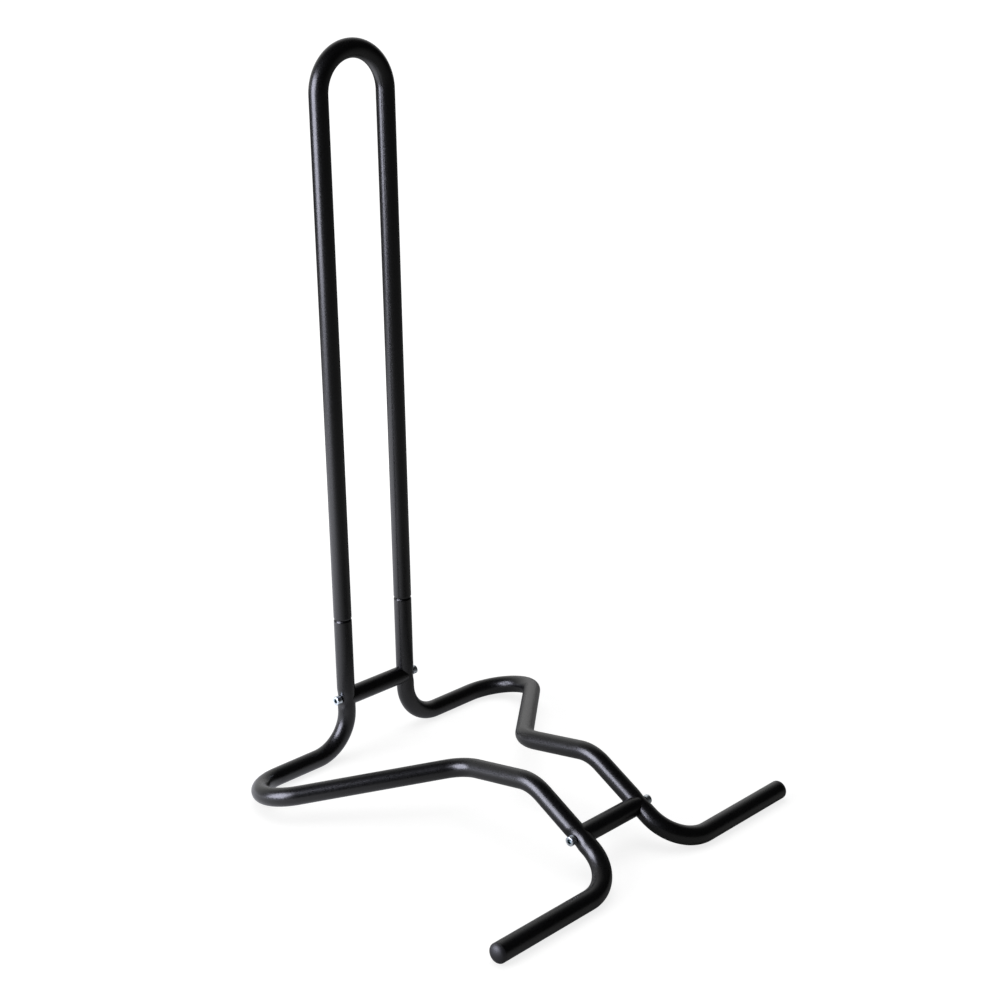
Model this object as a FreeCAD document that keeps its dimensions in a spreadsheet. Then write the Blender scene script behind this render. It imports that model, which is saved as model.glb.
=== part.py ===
"""Floor bike rack: two mirrored side frames of bent tube, two coped spacers and a plug-in hoop.

Millimetres, +Z up. The origin is on the floor under the middle of the rack. The wheel rolls in
from the front, -Y, between the side frames, and stands between the legs of the hoop at the back.
"""
import FreeCAD, Part
import math
import os

import Sketcher
from FreeCAD import Placement, Rotation, Vector

SIZES = (
    ("tube_diameter", 20, "outside of every tube"),
    ("tube_wall", 1.5, "wall of every tube"),
    ("bend_radius", 45, "bends of the side frames, to the tube's centre line"),
    ("leg_spacing", 88, "between the centre lines of the two legs"),
    ("overall_height", 784, "floor to the top of the hoop"),
    ("base_depth", 430, "back of the legs to the front of the feet"),
    ("rear_reach", 261.5, "middle plane to the corner that the two rear runs would meet in"),
    ("knee_setback", 192, "legs to the knee, along Y"),
    ("knee_height", 55.5, "floor to the knee's centre line"),
    ("crest_height", 74.5, "floor to the crest's centre line"),
    ("front_slope", 28.6, "degrees between the floor and the stretch below the crest"),
    ("foot_reach", 209, "middle plane to the open end of each front foot"),
    ("joint_height", 166, "floor to the seam in the legs"),
    ("spigot_length", 40, "reduced top end of a side frame's leg"),
    ("spigot_clearance", 0.1, "radial play between the spigot and the hoop's bore"),
    ("groove_depth", 1.2, "depth of the groove round the seam"),
    ("groove_flank", 2.6, "height of the groove's slope, above and below the seam"),
    ("spigot_lead", 1.5, "chamfer at the spigot's tip"),
    ("rear_spacer_height", 70.5, "floor to the rear spacer's axis"),
    ("front_spacer_height", 39, "floor to the front spacer's axis"),
    ("cope_clearance", 0.05, "play between a spacer's fish-mouth end and the side tube"),
    ("cope_setback", 2, "how far the tips of the fish mouth stop short of the side tube's axis"),
    ("screw_diameter", 6, "M6 screw"),
    ("screw_length", 35, "under the head"),
    ("screw_point", 0.8, "chamfer at the screw's tip"),
    ("head_diameter", 10, "socket head"),
    ("head_height", 6, "socket head"),
    ("head_edge", 0.6, "chamfer round the head's outer face"),
    ("socket_across_flats", 5, "hexagon socket in the head"),
    ("socket_depth", 3, "hexagon socket in the head"),
    ("screw_hole_play", 0.3, "radial play between a screw and its hole in the side tube"),
    ("seat_margin", 1, "how far the flat seat reaches past the screw's head, all round"),
    ("seat_depth", 0.5, "how far the seat is pressed into the tube"),
    ("insert_length", 18, "threaded plug in a spacer's end"),
    ("insert_setback", 1, "gap between the plug and the side tube"),
    ("insert_clearance", 0.05, "radial play between the plug and the spacer's bore"),
    ("thread_clearance", 0.05, "radial play between the screw and the plug"),
    ("insert_edge", 0.8, "chamfer at the plug's ends"),
    ("cap_rim", 1, "straight part of a foot cap's head"),
    ("cap_dome", 6, "height of a foot cap's dome"),
    ("cap_stem", 15, "length of a foot cap's stem"),
    ("cap_core_play", 1.2, "radial play between a foot cap's stem and the foot's bore"),
    ("cap_rib_clearance", 0.05, "radial play between the ribs and the foot's bore"),
    ("cap_rib_width", 1.6, "width of each rib"),
    ("cap_rib_pitch", 4.5, "from one rib to the next"),
    ("cap_hollow_wall", 1.8, "wall of the hollow stem"),
)

# Lengths that several pieces share, as expressions on the sheet
RADIUS = "(sizes.tube_diameter / 2)"
BORE = "(sizes.tube_diameter / 2 - sizes.tube_wall)"
LEG_X = "(sizes.leg_spacing / 2)"
LEG_Y = "(sizes.base_depth / 2 - sizes.tube_diameter / 2)"
SPIGOT = f"({BORE} - sizes.spigot_clearance)"
RIM = f"({RADIUS} - sizes.groove_depth)"
FRONT_SPACER_Y = (
    f"((sizes.front_spacer_height - {RADIUS}) / tan(sizes.front_slope) - {LEG_Y})"
)
SEAT_X = f"({LEG_X} + {RADIUS} - sizes.seat_depth)"

# Each spacer's name, and its axis along Y and Z
SPACERS = (
    ("rear", LEG_Y, "sizes.rear_spacer_height"),
    ("front", FRONT_SPACER_Y, "sizes.front_spacer_height"),
)

doc = FreeCAD.newDocument("floor_bike_rack")
sheet = doc.addObject("Spreadsheet::Sheet", "sizes")
for row, (alias, value, note) in enumerate(SIZES, start=1):
    sheet.set(f"A{row}", alias)
    sheet.set(f"B{row}", str(value))
    sheet.set(f"C{row}", note)
    sheet.setAlias(f"B{row}", alias)
doc.recompute()


def number(expression):
    """The value that an expression on the sheet has now."""
    return float(sheet.evalExpression(expression))


def new_body(label):
    """An empty body whose label names its file."""
    body = doc.addObject("PartDesign::Body", label)
    body.Label = label
    return body


def new_sketch(body, plane, name, offset=None):
    """A sketch on one of the body's own planes, moved along the plane's normal by an expression."""
    sketch = body.newObject("Sketcher::SketchObject", name)
    role = f"{plane}_Plane"
    support = next(item for item in body.Origin.OriginFeatures if item.Role == role)
    sketch.AttachmentSupport = [(support, "")]
    sketch.MapMode = "FlatFace"
    if offset:
        sketch.setExpression("AttachmentOffset.Base.z", offset)
    return sketch


def bind(sketch, constraint, name, expression):
    """Adds a named constraint whose value follows the sheet."""
    index = sketch.addConstraint(Sketcher.Constraint(*constraint, number(expression)))
    sketch.renameConstraint(index, name)
    sketch.setExpression(f"Constraints.{name}", expression)


def place_point(sketch, item, end, name, across, along):
    """Holds a point at two expressions from the sketch's origin; "0" keeps it on that axis."""
    for kind, value, axis in (("DistanceX", across, -2), ("DistanceY", along, -1)):
        if value == "0":
            sketch.addConstraint(Sketcher.Constraint("PointOnObject", item, end, axis))
        else:
            bind(sketch, (kind, -1, 1, item, end), f"{name}_{kind[-1].lower()}", value)


def draw_circle(sketch, name, radius, across, along):
    """A circle with its radius and centre bound to the sheet."""
    centre = Vector(number(across), number(along), 0)
    item = sketch.addGeometry(Part.Circle(centre, Vector(0, 0, 1), number(radius)))
    bind(sketch, ("Radius", item), f"{name}_radius", radius)
    place_point(sketch, item, 3, name, across, along)


def draw_outline(sketch, corners):
    """A closed outline of straight lines through named corners, each bound to the sheet."""
    points = [Vector(number(across), number(along), 0) for _, across, along in corners]
    count = len(points)
    for index, point in enumerate(points):
        sketch.addGeometry(Part.LineSegment(point, points[(index + 1) % count]))
    for index, (name, across, along) in enumerate(corners):
        before = (index - 1) % count
        sketch.addConstraint(Sketcher.Constraint("Coincident", before, 2, index, 1))
        place_point(sketch, index, 1, name, across, along)


def add_pad(body, name, sketch, length, both_ways=False):
    """Pads a sketch, to one side or evenly to both."""
    pad = body.newObject("PartDesign::Pad", name)
    pad.Profile = sketch
    pad.setExpression("Length", length)
    pad.SideType = "Symmetric" if both_ways else "One side"
    return pad


def volume_now(body):
    """The body's volume so far; an empty body has none."""
    doc.recompute()
    return 0 if body.Shape.isNull() else body.Shape.Volume


def check_cut(body, name, before):
    """Stops if the body's last feature left its volume as it was or larger."""
    if not volume_now(body) < before:
        raise RuntimeError(f"{name} cuts nothing")


def cut_through(body, name, sketch, reverse=False, both_ways=False):
    """Pockets a sketch through everything on one side of its plane, or on both."""
    before = volume_now(body)
    pocket = body.newObject("PartDesign::Pocket", name)
    pocket.Profile = sketch
    pocket.Type = "ThroughAll"
    pocket.SideType = "Symmetric" if both_ways else "One side"
    pocket.Reversed = reverse
    check_cut(body, name, before)


def run_pipe(body, kind, name, profile, spine):
    """Runs a profile along a spine, as material or, where kind is Subtractive, as a cut."""
    before = volume_now(body)
    pipe = body.newObject(f"PartDesign::{kind}Pipe", name)
    pipe.Profile = profile
    pipe.Spine = (spine, [f"Edge{index + 1}" for index in range(len(spine.Shape.Edges))])
    if kind == "Subtractive":
        check_cut(body, name, before)


def turn_round(body, kind, name, sketch, axis):
    """Turns a sketch once round one of its own axes, as a Revolution or, to cut, a Groove."""
    before = volume_now(body)
    turning = body.newObject(f"PartDesign::{kind}", name)
    turning.Profile = sketch
    turning.ReferenceAxis = (sketch, [axis])
    turning.Angle = 360
    if kind == "Groove":
        check_cut(body, name, before)


def draw_turning_axis(sketch, name, across):
    """A construction line along the sketch's height, to turn the sketch round."""
    x = number(across)
    line = sketch.addGeometry(Part.LineSegment(Vector(x, 0, 0), Vector(x, 10, 0)), True)
    sketch.addConstraint(Sketcher.Constraint("Vertical", line))
    place_point(sketch, line, 1, name, across, "0")


def bent_wire(corners, radius):
    """Straight runs between corners, joined by tangent arcs of one radius."""
    edges = []
    start = corners[0]
    for before, corner, after in zip(corners, corners[1:], corners[2:]):
        arriving = (corner - before).normalize()
        leaving = (after - corner).normalize()
        turn = arriving.getAngle(leaving)
        tangent = radius * math.tan(turn / 2)
        if tangent > (corner - start).Length:
            raise ValueError("two bends of the side frame run into each other")
        first = corner - arriving * tangent
        last = corner + leaving * tangent
        inward = (leaving - arriving).normalize()
        middle = corner + inward * (radius / math.cos(turn / 2) - radius)
        edges.append(Part.LineSegment(start, first).toShape())
        edges.append(Part.Arc(first, middle, last).toShape())
        start = last
    edges.append(Part.LineSegment(start, corners[-1]).toShape())
    return Part.Wire(edges)


def side_route():
    """Centre line of the right side frame, from the seam in its leg to the end of its foot."""
    leg_x, leg_y, floor = number(LEG_X), number(LEG_Y), number(RADIUS)
    crest_height = number("sizes.crest_height")
    slope = math.radians(number("sizes.front_slope"))
    crest_y = (crest_height - floor) / math.tan(slope) - leg_y
    seam = number("sizes.joint_height - sizes.groove_flank")
    corners = [
        Vector(leg_x, leg_y, seam),
        Vector(leg_x, leg_y, floor),
        Vector(number("sizes.rear_reach"), leg_y, floor),
        Vector(leg_x, leg_y - number("sizes.knee_setback"), number("sizes.knee_height")),
        Vector(leg_x, crest_y, crest_height),
        Vector(leg_x, -leg_y, floor),
        Vector(number("sizes.foot_reach"), -leg_y, floor),
    ]
    route = doc.addObject("Part::Feature", "side_route")
    route.Shape = bent_wire(corners, number("sizes.bend_radius"))
    return route


def make_side_frame():
    """The right side frame: one bent tube with a spigot on top and two screw holes."""
    body = new_body("right_side_frame")
    spine = body.newObject("PartDesign::SubShapeBinder", "side_spine")
    spine.Support = [(side_route(), ("",))]
    top = "sizes.joint_height - sizes.groove_flank"
    outside = new_sketch(body, "XY", "side_outside", top)
    draw_circle(outside, "tube", RADIUS, LEG_X, LEG_Y)
    run_pipe(body, "Additive", "side_tube", outside, spine)

    # reduced end: the groove's lower slope, the rim that carries the hoop, then the spigot
    reduced = new_sketch(body, "XY", "spigot_outside", top)
    draw_circle(reduced, "spigot", RADIUS, LEG_X, LEG_Y)
    add_pad(body, "spigot_stock", reduced, "sizes.groove_flank + sizes.spigot_length")
    # the XZ plane faces -Y, so the legs stand at minus their Y along its normal
    shape = new_sketch(body, "XZ", "spigot_shape", f"-{LEG_Y}")
    tip = "(sizes.joint_height + sizes.spigot_length)"
    outer = f"({LEG_X} + {RADIUS} + 1)"
    draw_outline(shape, (
        ("slope_foot", f"{LEG_X} + {RADIUS}", top),
        ("rim", f"{LEG_X} + {RIM}", "sizes.joint_height"),
        ("spigot_foot", f"{LEG_X} + {SPIGOT}", "sizes.joint_height"),
        ("lead", f"{LEG_X} + {SPIGOT}", f"{tip} - sizes.spigot_lead"),
        ("tip", f"{LEG_X} + {SPIGOT} - sizes.spigot_lead / 2", tip),
        ("tip_above", f"{LEG_X} + {SPIGOT} - sizes.spigot_lead / 2", f"{tip} + 1"),
        ("above", outer, f"{tip} + 1"),
        ("beside", outer, top),
    ))
    draw_turning_axis(shape, "leg_axis", LEG_X)
    turn_round(body, "Groove", "spigot", shape, "Axis0")

    inside = new_sketch(body, "XY", "side_inside", top)
    draw_circle(inside, "bore", BORE, LEG_X, LEG_Y)
    run_pipe(body, "Subtractive", "side_bore", inside, spine)
    spigot_inside = new_sketch(body, "XY", "spigot_inside", top)
    draw_circle(spigot_inside, "spigot_bore", f"{SPIGOT} - sizes.tube_wall", LEG_X, LEG_Y)
    cut_through(body, "spigot_bore", spigot_inside, reverse=True)

    holes = new_sketch(body, "YZ", "screw_holes")
    seats = new_sketch(body, "YZ", "screw_seats", SEAT_X)
    for name, y, z in SPACERS:
        draw_circle(holes, name, "sizes.screw_diameter / 2 + sizes.screw_hole_play", y, z)
        draw_circle(seats, name, "sizes.head_diameter / 2 + sizes.seat_margin", y, z)
    cut_through(body, "screw_hole", holes, reverse=True)
    cut_through(body, "screw_seat", seats, reverse=True)
    return body


def mirror_side_frame(right):
    """The left side frame: the right one mirrored in the middle plane."""
    left = doc.addObject("Part::Mirroring", "left_side_frame")
    left.Label = "left_side_frame"
    left.Source = right
    left.Normal = Vector(1, 0, 0)
    return left


def make_hoop():
    """The hoop: two straight legs and a half-round top, hollow, chamfered at the seam."""
    body = new_body("upper_hoop")
    path = new_sketch(body, "XZ", "hoop_path", f"-{LEG_Y}")
    leg_x, low = number(LEG_X), number("sizes.joint_height")
    turn = number("sizes.overall_height") - number(RADIUS) - leg_x
    centre = Vector(0, turn, 0)
    right = path.addGeometry(Part.LineSegment(Vector(leg_x, low, 0), Vector(leg_x, turn, 0)))
    circle = Part.Circle(centre, Vector(0, 0, 1), leg_x)
    top = path.addGeometry(Part.ArcOfCircle(circle, 0, math.pi))
    left = path.addGeometry(Part.LineSegment(Vector(-leg_x, turn, 0), Vector(-leg_x, low, 0)))
    path.addConstraint(Sketcher.Constraint("Tangent", right, 2, top, 1))
    path.addConstraint(Sketcher.Constraint("Tangent", top, 2, left, 1))
    path.addConstraint(Sketcher.Constraint("PointOnObject", top, 3, -2))
    path.addConstraint(Sketcher.Constraint("Vertical", right))
    place_point(path, right, 1, "leg_foot", LEG_X, "sizes.joint_height")
    bind(path, ("DistanceY", -1, 1, left, 2), "left_foot", "sizes.joint_height")
    height = f"sizes.overall_height - {RADIUS} - {LEG_X}"
    bind(path, ("DistanceY", -1, 1, top, 3), "bend_centre", height)

    for kind, name, radius in (("Additive", "hoop_tube", RADIUS), ("Subtractive", "hoop_bore", BORE)):
        profile = new_sketch(body, "XY", f"{name}_profile", "sizes.joint_height")
        draw_circle(profile, "tube", radius, LEG_X, LEG_Y)
        run_pipe(body, kind, name, profile, path)

    # the groove's upper slope, turned off both leg ends
    for side, sign in (("right", ""), ("left", "-")):
        slope = new_sketch(body, "XZ", f"{side}_leg_end", f"-{LEG_Y}")
        axis_x = f"{sign}{LEG_X}"
        draw_outline(slope, (
            ("rim", f"{axis_x} + {RIM}", "sizes.joint_height"),
            ("slope_head", f"{axis_x} + {RADIUS}", "sizes.joint_height + sizes.groove_flank"),
            ("beside", f"{axis_x} + {RADIUS} + 1", "sizes.joint_height + sizes.groove_flank"),
            ("under", f"{axis_x} + {RADIUS} + 1", "sizes.joint_height"),
        ))
        draw_turning_axis(slope, "leg_axis", axis_x)
        turn_round(body, "Groove", f"{side}_leg_slope", slope, "Axis0")
    return body


def make_spacer(name, y, z, lean):
    """A spacer tube whose fish-mouth ends sit on the side tubes; lean tips them onto the slope."""
    body = new_body(f"{name}_spacer")
    ring = new_sketch(body, "YZ", f"{name}_ring")
    draw_circle(ring, "outside", RADIUS, "0", "0")
    draw_circle(ring, "bore", BORE, "0", "0")
    length = f"2 * ({LEG_X} - sizes.cope_setback)"
    add_pad(body, f"{name}_tube", ring, length, both_ways=True)
    mouths = new_sketch(body, "XY", f"{name}_mouths")
    for side, sign in (("right", ""), ("left", "-")):
        draw_circle(mouths, side, f"{RADIUS} + sizes.cope_clearance", f"{sign}{LEG_X}", "0")
    cut_through(body, f"{name}_cope", mouths, both_ways=True)
    body.Placement = Placement(Vector(0, number(y), number(z)), Rotation(Vector(1, 0, 0), lean))
    return body


def make_insert(name):
    """A threaded plug for a spacer's end, lying along X with its outer end at the origin."""
    body = new_body(name)
    profile = new_sketch(body, "XY", f"{name}_profile")
    outer = f"({BORE} - sizes.insert_clearance)"
    hole = "(sizes.screw_diameter / 2)"
    draw_outline(profile, (
        ("mouth", "0", hole),
        ("front_edge", "0", f"{outer} - sizes.insert_edge"),
        ("front_shoulder", "-sizes.insert_edge", outer),
        ("back_shoulder", "sizes.insert_edge - sizes.insert_length", outer),
        ("back_edge", "-sizes.insert_length", f"{outer} - sizes.insert_edge"),
        ("back", "-sizes.insert_length", hole),
    ))
    turn_round(body, "Revolution", f"{name}_plug", profile, "H_Axis")
    return body


def make_screw(name):
    """A socket-head screw along X: the head's underside is at the origin, the head on +X."""
    body = new_body(name)
    profile = new_sketch(body, "XY", f"{name}_profile")
    shank = "(sizes.screw_diameter / 2 - sizes.thread_clearance)"
    head = "(sizes.head_diameter / 2)"
    draw_outline(profile, (
        ("tip", "-sizes.screw_length", "0"),
        ("point", "-sizes.screw_length", f"{shank} - sizes.screw_point"),
        ("shank_end", "sizes.screw_point - sizes.screw_length", shank),
        ("neck", "0", shank),
        ("underside", "0", head),
        ("head_side", "sizes.head_height - sizes.head_edge", head),
        ("head_edge", "sizes.head_height", f"{head} - sizes.head_edge"),
        ("face", "sizes.head_height", "0"),
    ))
    turn_round(body, "Revolution", f"{name}_blank", profile, "H_Axis")
    socket = new_sketch(body, "YZ", f"{name}_socket_shape", "sizes.head_height - sizes.socket_depth")
    # a hexagon standing on a corner, drawn on its own circumscribed circle
    radius = "(sizes.socket_across_flats / 2 / cos(30))"
    flat = "(sizes.socket_across_flats / 2)"
    draw_outline(socket, (
        ("top", "0", radius),
        ("upper_left", f"-{flat}", f"{radius} / 2"),
        ("lower_left", f"-{flat}", f"-{radius} / 2"),
        ("bottom", "0", f"-{radius}"),
        ("lower_right", flat, f"-{radius} / 2"),
        ("upper_right", flat, f"{radius} / 2"),
    ))
    cut_through(body, f"{name}_socket", socket, reverse=True)
    return body


def draw_dome(sketch):
    """Half of a dome on the cap's rim: an arc from the rim to the axis, and its base."""
    rim_x, dome, edge = number("sizes.cap_rim"), number("sizes.cap_dome"), number(RADIUS)
    radius = (edge ** 2 + dome ** 2) / (2 * dome)
    centre = Vector(rim_x + dome - radius, 0, 0)
    arc = Part.ArcOfCircle(Part.Circle(centre, Vector(0, 0, 1), radius), 0, math.asin(edge / radius))
    top = sketch.addGeometry(arc)
    base = sketch.addGeometry(Part.LineSegment(Vector(rim_x, edge, 0), Vector(rim_x, 0, 0)))
    axis = sketch.addGeometry(Part.LineSegment(Vector(rim_x, 0, 0), Vector(rim_x + dome, 0, 0)))
    for ending, starting in (((top, 2), (base, 1)), ((base, 2), (axis, 1)), ((axis, 2), (top, 1))):
        sketch.addConstraint(Sketcher.Constraint("Coincident", *ending, *starting))
    sketch.addConstraint(Sketcher.Constraint("PointOnObject", top, 3, -1))
    place_point(sketch, base, 1, "rim", "sizes.cap_rim", RADIUS)
    place_point(sketch, base, 2, "middle", "sizes.cap_rim", "0")
    place_point(sketch, axis, 2, "apex", "sizes.cap_rim + sizes.cap_dome", "0")


def make_foot_cap(name):
    """A ribbed plastic plug along X: the foot's end plane at the origin, the dome on +X."""
    body = new_body(name)
    profile = new_sketch(body, "XY", f"{name}_profile")
    core = f"({BORE} - sizes.cap_core_play)"
    rib = f"({BORE} - sizes.cap_rib_clearance)"
    hollow = f"({core} - sizes.cap_hollow_wall)"
    corners = [
        ("bottom_of_hollow", "-sizes.cap_hollow_wall", "0"),
        ("hollow", "-sizes.cap_hollow_wall", hollow),
        ("hollow_mouth", "-sizes.cap_stem", hollow),
        ("stem_end", "-sizes.cap_stem", core),
    ]
    ribs = int(number("(sizes.cap_stem - sizes.cap_rib_width) / sizes.cap_rib_pitch"))
    for index in reversed(range(ribs)):
        start = f"-sizes.cap_rib_pitch * {index + 1}"
        corners += [
            (f"rib{index}_foot", f"{start} - sizes.cap_rib_width / 2", core),
            (f"rib{index}_back", start, rib),
            (f"rib{index}_front", f"{start} + sizes.cap_rib_width / 2", rib),
            (f"rib{index}_step", f"{start} + sizes.cap_rib_width / 2", core),
        ]
    corners += [
        ("neck", "0", core),
        ("flange", "0", RADIUS),
        ("rim", "sizes.cap_rim", RADIUS),
        ("face", "sizes.cap_rim", "0"),
    ]
    draw_outline(profile, corners)
    turn_round(body, "Revolution", f"{name}_plug", profile, "H_Axis")
    dome = new_sketch(body, "XY", f"{name}_dome_shape")
    draw_dome(dome)
    turn_round(body, "Revolution", f"{name}_dome", dome, "H_Axis")
    return body


def put_on_side(body, sign, x, y, z):
    """Places a piece drawn for the right side at x, y, z, or turned about Z on the left."""
    body.Placement = Placement(
        Vector(sign * number(x), number(y), number(z)),
        Rotation(Vector(0, 0, 1), 0 if sign > 0 else 180),
    )
    return body


def build():
    """Makes every piece in its place and returns them."""
    right = make_side_frame()
    pieces = [make_hoop(), right, mirror_side_frame(right)]
    # the front spacer's mouths open along the slope instead of straight down
    leans = {"rear": 0, "front": number("sizes.front_slope") - 90}
    insert_x = f"{LEG_X} - {RADIUS} - sizes.insert_setback"
    for name, y, z in SPACERS:
        pieces.append(make_spacer(name, y, z, leans[name]))
        for side, sign in (("left", -1), ("right", 1)):
            insert = make_insert(f"insert_{name}_{side}")
            pieces.append(put_on_side(insert, sign, insert_x, y, z))
            screw = make_screw(f"screw_{name}_{side}")
            pieces.append(put_on_side(screw, sign, SEAT_X, y, z))
    for side, sign in (("left", -1), ("right", 1)):
        cap = make_foot_cap(f"foot_cap_{side}")
        pieces.append(put_on_side(cap, sign, "sizes.foot_reach", f"-{LEG_Y}", RADIUS))
    return pieces


def check_and_write(pieces):
    """Stops on any failed object or bad shape, then writes one STEP file for each piece."""
    doc.recompute()
    for item in doc.Objects:
        if {"Invalid", "Error"} & set(item.State):
            raise RuntimeError(f"{item.Name} failed: {item.State}")
    for piece in pieces:
        if piece.Shape.isNull() or not piece.Shape.isValid():
            raise RuntimeError(f"{piece.Label} has no valid shape")
    os.makedirs("parts", exist_ok=True)
    for piece in pieces:
        piece.Shape.exportStep(f"parts/{piece.Label}.step")
        box = piece.Shape.optimalBoundingBox()
        print(
            f"{piece.Label}: {len(piece.Shape.Solids)} solid, {piece.Shape.Volume:.0f} mm3, "
            f"X {box.XMin:.1f} {box.XMax:.1f}, Y {box.YMin:.1f} {box.YMax:.1f}, "
            f"Z {box.ZMin:.1f} {box.ZMax:.1f}"
        )


check_and_write(build())
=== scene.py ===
"""Looks of a floor bike rack: bent and powder-coated steel tube, zinc screws and plastic foot caps.

Metres, +Z up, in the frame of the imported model. The wheel rolls in from -Y, and the hoop stands at +Y.
"""
import logging
import math
from collections.abc import Callable, Sequence
from dataclasses import dataclass, field
from enum import Enum
from typing import Protocol

import bmesh
import bpy
from mathutils import Matrix, Vector


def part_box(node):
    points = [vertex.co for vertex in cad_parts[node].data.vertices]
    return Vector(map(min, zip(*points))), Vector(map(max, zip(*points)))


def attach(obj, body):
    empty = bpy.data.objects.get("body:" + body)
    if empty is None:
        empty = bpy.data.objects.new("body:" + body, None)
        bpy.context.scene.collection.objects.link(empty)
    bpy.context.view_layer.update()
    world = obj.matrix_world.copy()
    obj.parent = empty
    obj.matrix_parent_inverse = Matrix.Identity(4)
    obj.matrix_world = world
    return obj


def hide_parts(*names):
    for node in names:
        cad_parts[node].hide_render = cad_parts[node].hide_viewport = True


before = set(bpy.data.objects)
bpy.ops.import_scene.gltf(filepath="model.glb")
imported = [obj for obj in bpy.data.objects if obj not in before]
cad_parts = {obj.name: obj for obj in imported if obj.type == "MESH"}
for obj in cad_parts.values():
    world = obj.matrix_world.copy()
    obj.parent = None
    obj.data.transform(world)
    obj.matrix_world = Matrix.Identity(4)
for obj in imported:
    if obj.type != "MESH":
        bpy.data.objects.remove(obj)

log = logging.getLogger("bike_rack")

MM = 0.001
LEAST_RUN = 0.01 * MM
RING_POINTS = 48
SHARP_ANGLE = math.radians(32)
NODE_GAP = 190
MIX_COLOURS = (6, 7)
CLOUD_CELL = 25.0
CLOUD_DETAIL = 4.0
SCUFF_ROUGHNESS = 0.15
GLOSS_IOR = 1.5
SOCKET_SHADE_LAYER = "socket_shade"

Colour = tuple[float, float, float]
WHITE: Colour = (1.0, 1.0, 1.0)
MeshItem = bmesh.types.BMVert | bmesh.types.BMEdge | bmesh.types.BMFace


class Side(Enum):
    """Which side of the wheel a piece is on, as the sign of its X."""

    LEFT = -1
    RIGHT = 1

    @property
    def word(self) -> str:
        """The side's name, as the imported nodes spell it."""
        return self.name.lower()


class Brace(Enum):
    """The two spacers that hold the side frames apart."""

    REAR = "rear"
    FRONT = "front"


class Body(Enum):
    """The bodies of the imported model."""

    BASE = "base"
    HOOP = "hoop"


class Slot(Enum):
    """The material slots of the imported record."""

    COAT = "powder_coat"
    ZINC = "zinc_plate"
    STEEL = "plain_steel"
    PLASTIC = "black_plastic"


# Shared measures


@dataclass(frozen=True)
class RackSizes:
    """Places and sizes that several sub-assemblies share, in metres."""

    radius: float
    leg_x: float
    leg_y: float
    seam: float
    top: float
    spigot_tip: float
    foot_end: float
    cap_apex: float
    wall: float = 1.5 * MM
    spigot_play: float = 0.1 * MM
    bend_radius: float = 45 * MM
    slope: float = math.radians(28.6)

    @property
    def bore(self) -> float:
        """Inside radius of every tube."""
        return self.radius - self.wall

    @property
    def spigot(self) -> float:
        """Outside radius of the reduced tube end that the hoop's leg slides over."""
        return self.bore - self.spigot_play

    @classmethod
    def from_frame(cls) -> "RackSizes":
        """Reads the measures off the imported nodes.

        Returns:
            The measures that the pieces of the looks are built from.
        """
        hoop_low, hoop_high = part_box("upper_hoop")
        _, side_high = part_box("right_side_frame")
        spacer_low, spacer_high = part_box("rear_spacer")
        _, cap_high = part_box("foot_cap_right")
        radius = (spacer_high.z - spacer_low.z) / 2
        return cls(
            radius=radius,
            leg_x=hoop_high.x - radius,
            leg_y=(hoop_low.y + hoop_high.y) / 2,
            seam=hoop_low.z,
            top=hoop_high.z,
            spigot_tip=side_high.z,
            foot_end=side_high.x,
            cap_apex=cap_high.x,
        )


def screw_node(brace: Brace, side: Side) -> str:
    """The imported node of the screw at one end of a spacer."""
    return f"screw_{brace.value}_{side.word}"


def node_centre(node: str) -> Vector:
    """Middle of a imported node's box."""
    low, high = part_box(node)
    return (low + high) / 2


def soft_dent(distance: float, flat: float, reach: float) -> float:
    """A soft dent's share of its full depth.

    Args:
        distance: How far from the dent's middle, in metres.
        flat: How far its flat bottom reaches, in metres.
        reach: Where it ends, in metres.

    Returns:
        1 over the bottom, falling smoothly to 0 at the reach.
    """
    share = min(max(distance - flat, 0.0) / (reach - flat), 1.0)
    return (1 - share * share) ** 2


# Mesh building


@dataclass(frozen=True)
class FineSpot:
    """A place on a tube that needs close rings."""

    centre: Vector
    reach: float
    rings: int = 20


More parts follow.
